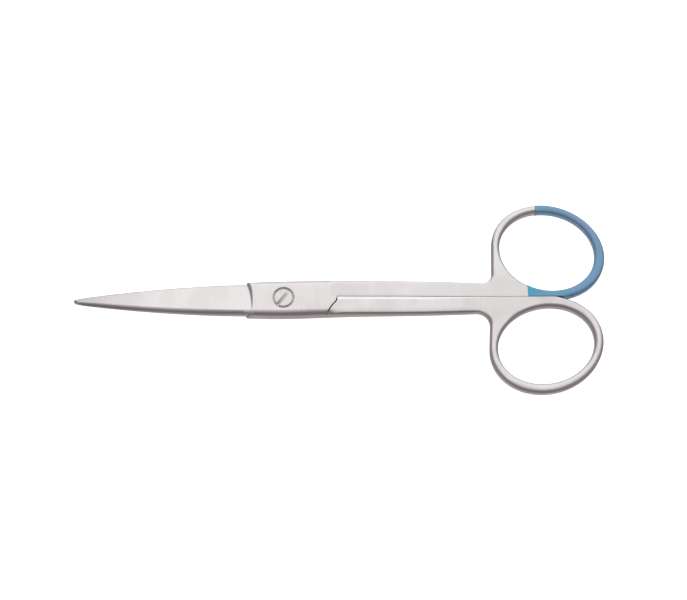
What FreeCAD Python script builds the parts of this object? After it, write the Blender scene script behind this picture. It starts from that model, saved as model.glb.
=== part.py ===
import FreeCAD, Part
import math
import os

from FreeCAD import Placement, Rotation, Vector

# Dissecting scissors with straight sharp blades, modelled closed.
# X runs along the length, tips towards -X and finger rings towards +X.
# Z is up. The origin lies on the pivot axis, on the underside of the joint.
# Each half is drawn about the plane where the two halves slide, then lifted to its height.
# All sizes are millimetres and all angles are degrees.

# Joint: two plates that lap over each other, each half of this thickness
JOINT_THICKNESS = 4.4
JOINT_HALF_WIDTH = 4.54
JOINT_STEP_HALF_WIDTH = 4.35
JOINT_ROUNDING = 1.35
SLIDE_GAP = 0.04

# Step where the joint plate falls to the blade: hollow in plan and leaning towards the tip
STEP_X = -7.6
STEP_CENTRE_Y = -0.7
STEP_RADIUS = 18.0
STEP_LEAN = 21.0

# Shoulder where each joint plate ends beside the other half's shank: a hollow curve in plan
SHOULDER_X = 12.95
SHOULDER_CORNER_Y = 0.9
SHOULDER_SIDE_X = 10.25
SHOULDER_SIDE_Y = 5.1
SHOULDER_BULGE = 0.28
SHOULDER_GAP = 0.42

# Blade, with sizes across the closed pair
BLADE_TIP_X = -51.5
BLADE_ROOT_X = -6.4
BLADE_ROOT_HALF_WIDTH = 4.12
BLADE_TIP_HALF_WIDTH = 0.7
BLADE_TAPER_POWER = 1.83
BLADE_ROOT_THICKNESS = 2.19
BLADE_TIP_THICKNESS = 0.85
BLADE_BACK_ROUNDING = 1.1
BACK_SIDE_SHARE = 0.35
BACK_BULGE_SHARE = 0.8
BACK_BULGE_INSET = 0.27
TIP_NOSE_HALF_WIDTH = 0.34
TIP_NOSE_LENGTH = 3.0
TIP_NOSE_BULGE = 0.08
TIP_ROUNDING = 0.28
TIP_END_HEIGHT = 0.28
TIP_SLOPE_LENGTH = 0.9
EDGE_LAND = 0.1
EDGE_BEVEL_WIDTH = 0.3
EDGE_BEVEL_HEIGHT = 0.34
HOLLOW_DEPTH = 0.1
HOLLOW_START_X = -48.0
HOLLOW_END_X = -10.5
HOLLOW_EDGE_MARGIN = 0.5

# Where along the blade its sections stand, from the tip (0) to the root (1)
BLADE_STATIONS = (0, 0.12, 0.3, 0.55, 0.8, 1)

# Shank
SHANK_START_X = 12.0
SHANK_START_HALF_WIDTH = 4.45
SHANK_THICKNESS = 3.2
SHANK_THIN_X = 22.0
SHANK_MIDDLE_X = 29.7
SHANK_MIDDLE_HALF_WIDTH = 4.31
SHANK_END_X = 47.4
SHANK_END_HALF_WIDTH = 3.8
SHANK_BOW = 0.17
PARTING_BOW = 0.37
HANDLE_ROUNDING = 0.78

# Bevel along the inner rim of each shank, on both faces
UPPER_BEVEL_WIDTH = 0.4
UPPER_BEVEL_DEPTH = 0.3
LOWER_BEVEL_WIDTH = 0.85
LOWER_BEVEL_DEPTH = 0.34
BEVEL_START_X = 12.5
BEVEL_RUN_IN = 0.8
BEVEL_FADE_X = 36.0
BEVEL_END_X = 52.0
BEVEL_END_SHARE = 0.12
BEVEL_STEPS = 4

# Finger rings: half axes and tilts of the outer oval and of the hole
RING_HALF_LENGTH = 14.15
RING_HALF_WIDTH = 11.93
RING_TILT = -20.0
HOLE_HALF_LENGTH = 11.92
UPPER_HOLE_HALF_WIDTH = 10.24
LOWER_HOLE_HALF_WIDTH = 9.62
HOLE_TILT = -15.5
HOLE_SHIFT_X = -0.08
UPPER_RING_X = 65.3
UPPER_RING_Y = 11.92
LOWER_RING_X = 63.94
LOWER_RING_Y = 12.32
RING_THICKNESS = 2.9
RING_LEVEL_X = 54.0

# Root of each ring beside its shank, and where the outline dips under the parting line
UPPER_ROOT_X = 51.1
UPPER_ROOT_RADIUS = 2.4
LOWER_ROOT_X = 50.6
LOWER_ROOT_RADIUS = 3.2
RING_ROOT_DROP = 0.12
RING_DIP_X = 62.0
RING_DIP = 2.2

# Pivot screw
SCREW_HEAD_DIAMETER = 4.76
SCREW_HEAD_HEIGHT = 0.95
SCREW_HEAD_CHAMFER = 0.27
SCREW_NECK_DIAMETER = 3.3
SCREW_THREAD_DIAMETER = 2.9
SCREW_END_RECESS = 0.05
SLOT_WIDTH = 0.82
SLOT_DEPTH = 0.6
SLOT_RUN_OUT = 1.62
SLOT_ANGLE = 52.0
SEAT_CHAMFER = 0.27
HEAD_CLEARANCE = 0.06
NECK_CLEARANCE = 0.03
THREAD_CLEARANCE = 0.015
HEAD_SEAT_GAP = 0.02

# Colour coat on the upper ring
COAT_THICKNESS = 0.11
COAT_TOP_X = 62.65
COAT_LOWER_X = 59.9

# Each closed handle stands this far from the parting line
CONTACT_GAP = 0.03

# Room that a trimming block leaves round what it trims
SPARE = 8.0
FAR_X = 90.0
FAR_Y = 40.0

# Distance below which two places count as one
SAME_PLACE = 0.01


class Handle:
    """What differs between the two handles: ring, ring root, inner bevel and coat.

    The turn is 1 for the upper half and -1 for the lower half, which is drawn turned over.
    """

    def __init__(self, turn, ring_x, ring_y, hole_half_width, root_x, root_radius,
                 bevel_width, bevel_depth, coat_recess):
        self.turn = turn
        self.ring_centre = Vector(ring_x, ring_y, 0)
        self.hole_centre = Vector(ring_x + HOLE_SHIFT_X, ring_y, 0)
        self.hole_half_width = hole_half_width
        self.root_x = root_x
        self.root_radius = root_radius
        self.bevel_width = bevel_width
        self.bevel_depth = bevel_depth
        self.coat_recess = coat_recess


UPPER_HANDLE = Handle(turn=1, ring_x=UPPER_RING_X, ring_y=UPPER_RING_Y,
                      hole_half_width=UPPER_HOLE_HALF_WIDTH,
                      root_x=UPPER_ROOT_X, root_radius=UPPER_ROOT_RADIUS,
                      bevel_width=UPPER_BEVEL_WIDTH, bevel_depth=UPPER_BEVEL_DEPTH,
                      coat_recess=COAT_THICKNESS)
LOWER_HANDLE = Handle(turn=-1, ring_x=LOWER_RING_X, ring_y=LOWER_RING_Y,
                      hole_half_width=LOWER_HOLE_HALF_WIDTH,
                      root_x=LOWER_ROOT_X, root_radius=LOWER_ROOT_RADIUS,
                      bevel_width=LOWER_BEVEL_WIDTH, bevel_depth=LOWER_BEVEL_DEPTH,
                      coat_recess=0.0)


def ellipse(centre, half_length, half_width, tilt, grow):
    """Oval in the plane of the rings, made larger all round by the given amount."""
    turn = math.radians(tilt)
    along = Vector(math.cos(turn), math.sin(turn), 0) * (half_length + grow)
    across = Vector(-math.sin(turn), math.cos(turn), 0) * (half_width + grow)
    return Part.Ellipse(centre + along, centre + across, centre)


def tangent_parameter(curve, point, side):
    """Where on the ellipse a straight line from the point touches it, on the given side."""
    along = curve.value(0) - curve.Center
    across = curve.value(math.pi / 2) - curve.Center
    offset = point - curve.Center
    u = offset.dot(along) / along.dot(along)
    v = offset.dot(across) / across.dot(across)
    return math.atan2(v, u) + side * math.acos(1 / math.hypot(u, v))


def line(start, end):
    return Part.LineSegment(start, end).toShape()


def face_of(edges):
    return Part.Face(Part.Wire(Part.__sortEdges__(edges)))


def prism(edges, low, high):
    """Solid between two heights over a closed outline drawn at height zero."""
    face = face_of(edges)
    face.translate(Vector(0, 0, low))
    return face.extrude(Vector(0, 0, high - low))


def side_curve(sign, grow, bow):
    """Long edge of the closed pair, from left of the joint to the end of the shank."""
    curve = Part.BSplineCurve()
    curve.interpolate([
        Vector(STEP_X, sign * (JOINT_STEP_HALF_WIDTH + grow), 0),
        Vector(0, sign * (JOINT_HALF_WIDTH + grow), 0),
        Vector(SHANK_START_X, sign * (SHANK_START_HALF_WIDTH + grow) + bow, 0),
        Vector(SHANK_MIDDLE_X, sign * (SHANK_MIDDLE_HALF_WIDTH + grow) + bow, 0),
        Vector(SHANK_END_X, sign * (SHANK_END_HALF_WIDTH + grow), 0),
    ])
    return curve


def ring_root(handle, grow):
    """Sharp corner between a shank and its ring, before it is rounded."""
    return Vector(handle.root_x - grow, SHANK_END_HALF_WIDTH + grow - RING_ROOT_DROP, 0)


def outline_edges(handle, grow):
    """Plan of a half before the other half is cut away from it, with a sharp ring root."""
    back = side_curve(1, grow, handle.turn * SHANK_BOW)
    front = side_curve(-1, grow, handle.turn * SHANK_BOW)
    back_start, back_end = back.StartPoint, back.EndPoint
    front_start, front_end = front.StartPoint, front.EndPoint
    left = STEP_X - SPARE
    back_left = Vector(left, back_start.y, 0)
    front_left = Vector(left, front_start.y, 0)
    outer = ellipse(handle.ring_centre, RING_HALF_LENGTH, RING_HALF_WIDTH, RING_TILT, grow)
    root = ring_root(handle, grow)
    dip = Vector(RING_DIP_X, -RING_DIP, 0)
    first = tangent_parameter(outer, dip, 1)
    last = tangent_parameter(outer, root, -1)
    while last < first:
        last += 2 * math.pi
    return [
        line(back_left, front_left),
        line(front_left, front_start),
        front.toShape(),
        line(front_end, dip),
        line(dip, outer.value(first)),
        outer.toShape(first, last),
        line(outer.value(last), root),
        line(root, back_end),
        back.toShape(),
        line(back_start, back_left),
    ]


def thickness_curve(grow):
    """Upper edge of the side view, from the thick joint down to the level of the ring."""
    joint = JOINT_THICKNESS / 2 + grow
    shank = SHANK_THICKNESS / 2 + grow
    ring = RING_THICKNESS / 2 + grow
    start_x = SHOULDER_SIDE_X
    curve = Part.BezierCurve()
    curve.setPoles([
        Vector(start_x, 0, joint),
        Vector((start_x + SHANK_THIN_X) / 2, 0, joint),
        Vector(SHANK_THIN_X, 0, shank),
        Vector((SHANK_THIN_X + RING_LEVEL_X) / 2, 0, ring),
        Vector(RING_LEVEL_X, 0, ring),
    ])
    return curve


def side_view_block(grow):
    """Block whose side view is that of a whole half: thick joint, thinner shank, level ring."""
    left_x = STEP_X - 2 * SPARE
    upper = thickness_curve(grow)
    lower = thickness_curve(grow)
    lower.mirror(Vector(0, 0, 0), Vector(1, 0, 0))
    edges = [
        line(Vector(left_x, 0, lower.StartPoint.z), Vector(left_x, 0, upper.StartPoint.z)),
        line(Vector(FAR_X, 0, lower.EndPoint.z), Vector(FAR_X, 0, upper.EndPoint.z)),
    ]
    for curve in (upper, lower):
        start, end = curve.StartPoint, curve.EndPoint
        edges.append(line(Vector(left_x, 0, start.z), start))
        edges.append(curve.toShape())
        edges.append(line(end, Vector(FAR_X, 0, end.z)))
    face = face_of(edges)
    face.translate(Vector(0, -FAR_Y, 0))
    return face.extrude(Vector(0, 2 * FAR_Y, 0))


def on_rim(edge, rims):
    """True for an edge of the top or bottom face that follows one of the plan outlines."""
    middle = edge.valueAt((edge.FirstParameter + edge.LastParameter) / 2)
    if edge.BoundBox.XLength < SAME_PLACE:
        return False
    if abs(edge.valueAt(edge.FirstParameter).z - edge.valueAt(edge.LastParameter).z) > 1:
        return False
    point = Part.Vertex(Vector(middle.x, middle.y, 0))
    return any(rim.distToShape(point)[0] < SAME_PLACE for rim in rims)


def rounded(solid, rims, grow):
    """Round the top and bottom rims, most at the joint and evenly less along the shank."""
    thick_end_x = thickness_curve(grow).StartPoint.x + SAME_PLACE
    radii = []
    for number, edge in enumerate(solid.Edges, 1):
        if not on_rim(edge, rims):
            continue
        box = edge.BoundBox
        if box.XMax < thick_end_x:
            radii.append((number, JOINT_ROUNDING + grow, JOINT_ROUNDING + grow))
        elif box.XMin < thick_end_x:
            wide_first = edge.firstVertex(True).X < edge.lastVertex(True).X
            ends = [JOINT_ROUNDING + grow, HANDLE_ROUNDING + grow]
            if not wide_first:
                ends.reverse()
            radii.append((number, ends[0], ends[1]))
        else:
            radii.append((number, HANDLE_ROUNDING + grow, HANDLE_ROUNDING + grow))
    document = FreeCAD.newDocument("rounding")
    base = document.addObject("Part::Feature", "base")
    base.Shape = solid
    fillet = document.addObject("Part::Fillet", "fillet")
    fillet.Base = base
    fillet.Edges = radii
    document.recompute()
    result = fillet.Shape.copy()
    FreeCAD.closeDocument(document.Name)
    return result


def shoulder_curve(offset, sign):
    """Hollow curve in plan where a joint plate ends, from its inner corner outwards."""
    corner = Vector(SHOULDER_X + offset, sign * SHOULDER_CORNER_Y, 0)
    outer = Vector(SHOULDER_SIDE_X + offset, sign * SHOULDER_SIDE_Y, 0)
    chord = outer - corner
    inward = Vector(-sign * chord.y, sign * chord.x, 0).normalize()
    return Part.Arc(corner, (corner + outer) * 0.5 + inward * SHOULDER_BULGE, outer)


def path(points):
    """Straight edges along a row of plan points."""
    corners = [Vector(x, y, 0) for x, y in points]
    return [line(a, b) for a, b in zip(corners, corners[1:])]


def parting_y(handle, x):
    """Parting line of the closed handles, in this half's own frame: bowed along the shank."""
    share = (RING_LEVEL_X - x) / (RING_LEVEL_X - SHANK_MIDDLE_X)
    return handle.turn * PARTING_BOW * min(1, max(0, share))


def inner_rim(handle, start_x, gap):
    """Row of plan points along a handle's inner rim, at a gap from the parting line."""
    rim = [(x, parting_y(handle, x) + gap) for x in (start_x, SHANK_MIDDLE_X, RING_LEVEL_X)]
    if handle.coat_recess:
        rim.append((COAT_LOWER_X, gap))
        rim.append((COAT_LOWER_X, gap + handle.coat_recess))
    rim.append((FAR_X, gap + handle.coat_recess))
    return rim


def beyond_parting(handle, grow):
    """What the other half takes up beside this one, past the end of this joint plate."""
    plate_end = shoulder_curve(-SHOULDER_GAP / 2, -1)
    corner, outer = plate_end.StartPoint, plate_end.EndPoint
    rim_start_x = corner.x + SHOULDER_GAP - CONTACT_GAP
    rim = inner_rim(handle, rim_start_x, CONTACT_GAP - grow)
    around = path([(corner.x, corner.y)] + rim + [(FAR_X, -SPARE), (outer.x, -SPARE), (outer.x, outer.y)])
    return prism([plate_end.toShape()] + around, -SPARE, SPARE)


def handle_blank(handle, grow=0.0):
    """Joint, shank and ring with rounded rims, before the lap; grow thickens it all round."""
    solid = prism(outline_edges(handle, grow), -SPARE, SPARE)
    root = ring_root(handle, grow)
    upright = [edge for edge in solid.Edges if (edge.CenterOfMass - root).Length < SAME_PLACE]
    solid = solid.makeFillet(handle.root_radius - grow, upright)
    hole = ellipse(handle.hole_centre, HOLE_HALF_LENGTH, handle.hole_half_width, HOLE_TILT, -grow)
    solid = solid.cut(prism([hole.toShape()], -SPARE, SPARE))
    flat = solid.slice(Vector(0, 0, 1), 0)
    solid = solid.common(side_view_block(grow))
    solid = rounded(solid, flat, grow)
    return solid.cut(beyond_parting(handle, grow))


def lap_pocket():
    """What the other half's joint plate takes up, with its sliding gap."""
    plate_end = shoulder_curve(SHOULDER_GAP / 2, 1)
    corner, outer = plate_end.StartPoint, plate_end.EndPoint
    left = BLADE_TIP_X - SPARE
    around = path([(outer.x, outer.y), (outer.x, SPARE), (left, SPARE), (left, -SPARE),
                   (corner.x, -SPARE), (corner.x, corner.y)])
    return prism([plate_end.toShape()] + around, -SPARE, SLIDE_GAP / 2)


def step_trim():
    """Leaning drum that hollows out the end face of the joint plate."""
    reach = 4 * SPARE
    drum = Part.makeCylinder(STEP_RADIUS, 2 * reach, Vector(-STEP_RADIUS, 0, -reach))
    drum.rotate(Vector(0, 0, 0), Vector(0, 1, 0), STEP_LEAN)
    drum.translate(Vector(STEP_X, STEP_CENTRE_Y, JOINT_THICKNESS / 2))
    return drum


def blade_half_width(x):
    """Half width of the closed blades: fullest at the joint, curving in to the tips."""
    share = (x - BLADE_TIP_X) / (BLADE_ROOT_X - BLADE_TIP_X)
    growth = 1 - (1 - share) ** BLADE_TAPER_POWER
    return BLADE_TIP_HALF_WIDTH + (BLADE_ROOT_HALF_WIDTH - BLADE_TIP_HALF_WIDTH) * growth


def blade_thickness(x):
    """Height of the blade's back above the sliding plane."""
    share = (x - BLADE_TIP_X) / (BLADE_ROOT_X - BLADE_TIP_X)
    return BLADE_TIP_THICKNESS + (BLADE_ROOT_THICKNESS - BLADE_TIP_THICKNESS) * share


def blade_section(x):
    """Section of the blade: rounded back at the front, sloping face, bevelled cutting edge."""
    half = blade_half_width(x)
    top = blade_thickness(x)
    rounding = min(BLADE_BACK_ROUNDING, half)
    low = -SLIDE_GAP
    back_top = Vector(x, rounding - half, top)
    back_side = Vector(x, -half, top * BACK_SIDE_SHARE)
    back_bulge = Vector(x, -half + rounding * BACK_BULGE_INSET, top * BACK_BULGE_SHARE)
    bevel_top = Vector(x, half - EDGE_BEVEL_WIDTH, EDGE_LAND + EDGE_BEVEL_HEIGHT)
    edge_top = Vector(x, half, EDGE_LAND)
    edge_low = Vector(x, half, low)
    back_low = Vector(x, -half, low)
    return Part.Wire([
        Part.Arc(back_side, back_bulge, back_top).toShape(),
        line(back_top, bevel_top),
        line(bevel_top, edge_top),
        line(edge_top, edge_low),
        line(edge_low, back_low),
        line(back_low, back_side),
    ])


def tip_trim():
    """Sloping cut that thins the last stretch of the tip."""
    low = Vector(BLADE_TIP_X, 0, TIP_END_HEIGHT)
    high = Vector(BLADE_TIP_X + TIP_SLOPE_LENGTH, 0, blade_thickness(BLADE_TIP_X + TIP_SLOPE_LENGTH))
    reach = (high - low) * (SPARE / TIP_SLOPE_LENGTH)
    start, end = low - reach, low + reach
    side = Part.Face(Part.makePolygon([start, end, Vector(start.x, 0, end.z), start]))
    side.translate(Vector(0, -SPARE, 0))
    return side.extrude(Vector(0, 2 * SPARE, 0))


def nose_block():
    """Block whose plan narrows in two curves to the small rounded end of the blade."""
    nose_end_x = BLADE_TIP_X + TIP_NOSE_LENGTH
    wide = blade_half_width(nose_end_x)
    middle_x = BLADE_TIP_X + TIP_NOSE_LENGTH / 2
    middle_y = (TIP_NOSE_HALF_WIDTH + wide) / 2 + TIP_NOSE_BULGE
    right_x = BLADE_ROOT_X + SPARE
    edges = path([(BLADE_TIP_X, -TIP_NOSE_HALF_WIDTH), (BLADE_TIP_X, TIP_NOSE_HALF_WIDTH)])
    edges += path([(right_x, -SPARE), (right_x, SPARE)])
    for sign in (1, -1):
        start = Vector(BLADE_TIP_X, sign * TIP_NOSE_HALF_WIDTH, 0)
        middle = Vector(middle_x, sign * middle_y, 0)
        end = Vector(nose_end_x, sign * wide, 0)
        edges.append(Part.Arc(start, middle, end).toShape())
        edges += path([(end.x, end.y), (end.x, sign * SPARE), (right_x, sign * SPARE)])
    block = prism(edges, -SPARE, SPARE)
    corners = [
        edge for edge in block.Edges
        if edge.BoundBox.XMax < BLADE_TIP_X + SAME_PLACE and edge.BoundBox.YLength < SAME_PLACE
    ]
    return block.makeFillet(TIP_ROUNDING, corners)


def blade():
    """Straight blade lofted along its length, with a narrow, rounded and thinned tip."""
    length = BLADE_ROOT_X - BLADE_TIP_X
    stations = [BLADE_TIP_X + length * share for share in BLADE_STATIONS]
    solid = Part.makeLoft([blade_section(x) for x in stations], True)
    return solid.common(nose_block()).cut(tip_trim())


def hollow_grind():
    """Shallow hollow in the inner face, which leaves a flat strip along each edge."""
    sections = []
    for x in (HOLLOW_START_X, (HOLLOW_START_X + HOLLOW_END_X) / 2, HOLLOW_END_X):
        half = blade_half_width(x) - HOLLOW_EDGE_MARGIN
        depth = HOLLOW_DEPTH * blade_thickness(x) / BLADE_ROOT_THICKNESS
        left = Vector(x, -half, 0)
        right = Vector(x, half, 0)
        crown = Vector(x, 0, SLIDE_GAP / 2 + depth)
        sections.append(Part.Wire([Part.Arc(left, crown, right).toShape(), line(right, left)]))
    return Part.makeLoft(sections, True)


def surface_height(x):
    """Height of the handle's top face above the sliding plane."""
    curve = thickness_curve(0.0)
    if x <= curve.StartPoint.x:
        return curve.StartPoint.z
    if x >= curve.EndPoint.x:
        return curve.EndPoint.z
    upright = line(Vector(x, 0, -SPARE), Vector(x, 0, SPARE))
    return curve.toShape().distToShape(upright)[1][0][0].z


def rim_bevel(handle, side):
    """Bevel along the inner rim of the shank, on the top (1) or bottom (-1) face."""
    full_x = BEVEL_START_X + BEVEL_RUN_IN
    stations = [(BEVEL_START_X, BEVEL_END_SHARE)]
    for step in range(BEVEL_STEPS + 1):
        stations.append((full_x + (BEVEL_FADE_X - full_x) * step / BEVEL_STEPS, 1))
    stations.append((BEVEL_END_X, BEVEL_END_SHARE))
    sections = []
    for x, share in stations:
        top = surface_height(x)
        inner = parting_y(handle, x) + CONTACT_GAP
        width = handle.bevel_width * share
        depth = handle.bevel_depth * share
        deep = Vector(x, inner, side * (top - depth))
        over = Vector(x, inner + 2 * width, side * (top + depth))
        above = Vector(x, inner - handle.bevel_width, side * (top + depth))
        beside = Vector(x, inner - handle.bevel_width, deep.z)
        sections.append(Part.makePolygon([deep, over, above, beside, deep]))
    return Part.makeLoft(sections, True, True)


def half(handle):
    """One forged half in the upper half's place, without its screw hole."""
    body = handle_blank(handle).cut(step_trim())
    body = body.cut(lap_pocket())
    body = body.fuse(blade().cut(lap_pocket()))
    body = body.cut(hollow_grind())
    for side in (1, -1):
        body = body.cut(rim_bevel(handle, side))
    return body


def upright_cylinder(diameter, low, high):
    return Part.makeCylinder(diameter / 2, high - low, Vector(0, 0, low))


def head_seat():
    """Stepped hole of the upper half: bevelled counterbore for the head and a hole for the neck."""
    top = JOINT_THICKNESS / 2
    bore = SCREW_HEAD_DIAMETER + 2 * HEAD_CLEARANCE
    seat = upright_cylinder(bore, top - SCREW_HEAD_HEIGHT - HEAD_SEAT_GAP, SPARE)
    bevel_low = Vector(0, 0, top - SEAT_CHAMFER)
    bevel = Part.makeCone(bore / 2, bore / 2 + 2 * SEAT_CHAMFER, 2 * SEAT_CHAMFER, bevel_low)
    neck = upright_cylinder(SCREW_NECK_DIAMETER + 2 * NECK_CLEARANCE, -SPARE, top)
    return seat.fuse(bevel).fuse(neck)


def thread_hole():
    return upright_cylinder(SCREW_THREAD_DIAMETER + 2 * THREAD_CLEARANCE, -SPARE, SPARE)


def upper_half():
    return half(UPPER_HANDLE).cut(head_seat())


def lower_half():
    body = half(LOWER_HANDLE)
    body.rotate(Vector(0, 0, 0), Vector(1, 0, 0), 180)
    return body.cut(thread_hole())


def screw_slot():
    """Straight saw cut, deepest at one rim and running out just before the other."""
    top = JOINT_THICKNESS / 2
    rim = SCREW_HEAD_DIAMETER / 2
    fall = SLOT_DEPTH / (rim + SLOT_RUN_OUT)
    low_x = -2 * rim
    profile = Part.makePolygon([
        Vector(SLOT_RUN_OUT, 0, top),
        Vector(low_x, 0, top + fall * (low_x - SLOT_RUN_OUT)),
        Vector(low_x, 0, SPARE),
        Vector(SLOT_RUN_OUT, 0, SPARE),
        Vector(SLOT_RUN_OUT, 0, top),
    ])
    face = Part.Face(profile)
    face.translate(Vector(0, -SLOT_WIDTH / 2, 0))
    cut = face.extrude(Vector(0, SLOT_WIDTH, 0))
    cut.rotate(Vector(0, 0, 0), Vector(0, 0, 1), SLOT_ANGLE)
    return cut


def pivot_screw():
    """Slotted screw: flush head, plain neck in the upper half, thread in the lower half."""
    top = JOINT_THICKNESS / 2
    head = upright_cylinder(SCREW_HEAD_DIAMETER, top - SCREW_HEAD_HEIGHT, top)
    rim = [edge for edge in head.Edges if edge.BoundBox.ZMin > top - SAME_PLACE]
    head = head.makeChamfer(SCREW_HEAD_CHAMFER, rim)
    neck = upright_cylinder(SCREW_NECK_DIAMETER, -SLIDE_GAP / 2 + HEAD_SEAT_GAP, top - SCREW_HEAD_HEIGHT)
    thread = upright_cylinder(SCREW_THREAD_DIAMETER, SCREW_END_RECESS - top, 0)
    return head.fuse(neck).fuse(thread).cut(screw_slot())


def ring_colour_coat(body):
    """Thin lacquer skin over the right part of the upper ring, with upright ends."""
    middle_y = UPPER_HANDLE.hole_centre.y
    around = path([(COAT_LOWER_X, -SPARE), (FAR_X, -SPARE), (FAR_X, FAR_Y), (COAT_TOP_X, FAR_Y),
                   (COAT_TOP_X, middle_y), (COAT_LOWER_X, middle_y), (COAT_LOWER_X, -SPARE)])
    skin = handle_blank(UPPER_HANDLE, COAT_THICKNESS)
    return skin.common(prism(around, -SPARE, SPARE)).cut(body)


def export(name, shape):
    """Lift a finished piece from the sliding plane to its height and write it."""
    piece = shape.removeSplitter()
    piece.translate(Vector(0, 0, JOINT_THICKNESS / 2))
    piece.exportStep("parts/" + name + ".step")
    print(name, piece.isValid(), len(piece.Solids), round(piece.Volume, 2))


def main():
    os.makedirs("parts", exist_ok=True)
    upper = upper_half()
    export("upper_half", upper)
    export("lower_half", lower_half())
    export("pivot_screw", pivot_screw())
    export("ring_colour_coat", ring_colour_coat(upper))


main()
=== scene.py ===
import math

import bmesh
import bpy
from bpy.props import FloatProperty, FloatVectorProperty, IntProperty, PointerProperty
from mathutils import Matrix, Vector


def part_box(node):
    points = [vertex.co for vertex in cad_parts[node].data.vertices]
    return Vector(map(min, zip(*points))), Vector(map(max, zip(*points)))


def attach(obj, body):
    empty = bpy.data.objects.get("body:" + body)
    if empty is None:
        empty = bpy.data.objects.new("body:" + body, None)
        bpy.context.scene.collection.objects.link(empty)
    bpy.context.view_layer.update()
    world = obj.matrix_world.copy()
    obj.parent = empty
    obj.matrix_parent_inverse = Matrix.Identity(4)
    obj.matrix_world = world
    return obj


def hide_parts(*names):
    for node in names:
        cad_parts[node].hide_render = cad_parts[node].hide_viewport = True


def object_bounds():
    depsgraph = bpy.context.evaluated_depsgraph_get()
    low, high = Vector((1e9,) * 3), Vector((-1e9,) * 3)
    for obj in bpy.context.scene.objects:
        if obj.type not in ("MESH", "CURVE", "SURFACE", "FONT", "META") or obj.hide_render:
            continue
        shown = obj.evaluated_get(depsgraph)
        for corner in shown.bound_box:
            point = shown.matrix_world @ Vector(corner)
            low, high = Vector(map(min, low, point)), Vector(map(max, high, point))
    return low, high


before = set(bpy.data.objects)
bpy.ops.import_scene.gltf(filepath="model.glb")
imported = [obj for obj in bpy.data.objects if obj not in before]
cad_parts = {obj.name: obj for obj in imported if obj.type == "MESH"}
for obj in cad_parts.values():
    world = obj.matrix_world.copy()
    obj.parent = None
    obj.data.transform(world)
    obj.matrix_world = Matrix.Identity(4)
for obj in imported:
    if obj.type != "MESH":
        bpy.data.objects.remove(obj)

# Closed dissecting scissors, seen from above and a little from the front.
# X runs along the length with the tips towards -X, Z is up, and the origin is on the pivot axis.
# Sizes are metres, and colours are linear.

bl_info = {
    "name": "Dissecting scissors",
    "version": (1, 0, 0),
    "blender": (4, 5, 0),
    "location": "View3D > Sidebar > Scissors",
    "description": "Ground steel halves, a turned pivot screw, a lacquered ring and their studio",
    "category": "Add Mesh",
}

MM = 0.001
CAD_LOW, CAD_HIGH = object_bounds()
SCREW_LOW, SCREW_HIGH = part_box("pivot_screw")
LOWER_BODY = "lower_body"
BLACK = (0, 0, 0)
SHADER_SAMPLES = 8

# Where finishes and painted shade begin and where they are full. X lies along the scissors, OFF is a
# distance from the parting line, Y lies on the upper ring's side, and the step's reach is a distance from
# the step.
PAINTED_TIP_SHADE_X = (-30 * MM, -40 * MM)
STEP_REACH = (1.4 * MM, 0.9 * MM)
SHANK_START_X = (11 * MM, 15 * MM)
SHANK_END_X = (51 * MM, 47 * MM)
SHANK_OFF = (6.5 * MM, 5.5 * MM)
BEVEL_X = (12 * MM, 12.6 * MM)
BEVEL_OFF = (1.6 * MM, 1.5 * MM)
PAINTED_WEB_SHADE_X = (22 * MM, 57 * MM)
PAINTED_WEB_SHADE_OFF = (8 * MM, 3 * MM)
ROUND_GRINDING_X = (50 * MM, 57 * MM)
RING_X = (53 * MM, 57 * MM)
RING_OFF = (2.2 * MM, 4.5 * MM)
LACQUER_START_X = (66 * MM, 60.5 * MM)
LACQUER_START_Y = (8 * MM, 6 * MM)
LACQUER_FAINT_Y = (12 * MM, 5 * MM)
LACQUER_FAINT_SHARE = 0.3

# Upright share of a normal: 1 on a level face and 0 on a wall.
BEVEL_FROM_FACE = (0.985, 0.97)
BEVEL_FROM_WALL = (0.5, 0.6)
UPRIGHT = (0.35, 0.8)
CRISP_UPRIGHT = (0.68, 0.9)

# Agreement of the plain and the rounded normal, from an open face to a sharp edge.
EDGE_AGREEMENT = (0.998, 0.9)

# Steel. Noise scales are cycles per metre, and the bands' is a part of the lines' own. Noise mostly
# stays within its range. A dullness, gain or shade is a factor, and a swing is added on both sides.
NOISE_RANGE = (0.3, 0.7)
LINE_RANGE = (0.25, 0.75)
GRINDING_STRETCH = (1, 0.035, 0.3)
BAND_SCALE = 0.13
BAND_DEPTH = 1.5
STEEL_PATCH_SCALE = 130
DULL_PATCH_RANGE = (0.42, 0.68)
DULL_LINES = 0.35
DULL_BANDS = 0.3
RUBBED_GAIN = 1.22
RUBBED_SHARE = 0.7
RUBBED_ROUGHNESS = 0.08
# Painted shade in crevices: the reach of the ambient occlusion, the openness over which it fades in, and
# its factor.
PAINTED_SHADE_REACH = 0.5 * MM
PAINTED_SHADE_OPENNESS = (0.85, 0.35)
PAINTED_SHADE_FACTOR = 0.55
STEEL_ROUGHNESS_SWING = (-0.05, 0.06)
PATCH_ROUGHNESS = (-0.02, 0.04)

# Turned screw. The slot gets painted shade and a band round the head's chamfer a painted highlight. The
# rim's band and the slot's inner limit are parts of the head's chamfer.
SCREW_LINE_SPACING = 0.09 * MM
SCREW_LINE_DEPTH = 0.003 * MM
SCREW_PATCH_SCALE = 900
SCREW_DULL_RANGE = (0.4, 0.7)
SCREW_DULL_SHARE = 0.3
SCREW_DULL_SHADE = 0.72
SCREW_EDGE = 0.5
SCREW_RUBBED_SHARE = 0.5
SCREW_ROUGHNESS = (0.24, 0.38)
SLOT_INSIDE = (1.0, 1.2)
SLOT_DEPTHS = (0.01 * MM, 0.08 * MM)
SLOT_PAINTED_SHADE = 0.78
RIM_BAND = (0.9, 0.6)
RIM_PAINTED_HIGHLIGHT_SHARE = 0.8
RIM_PAINTED_HIGHLIGHT = (0.95, 0.92, 0.92)

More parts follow.
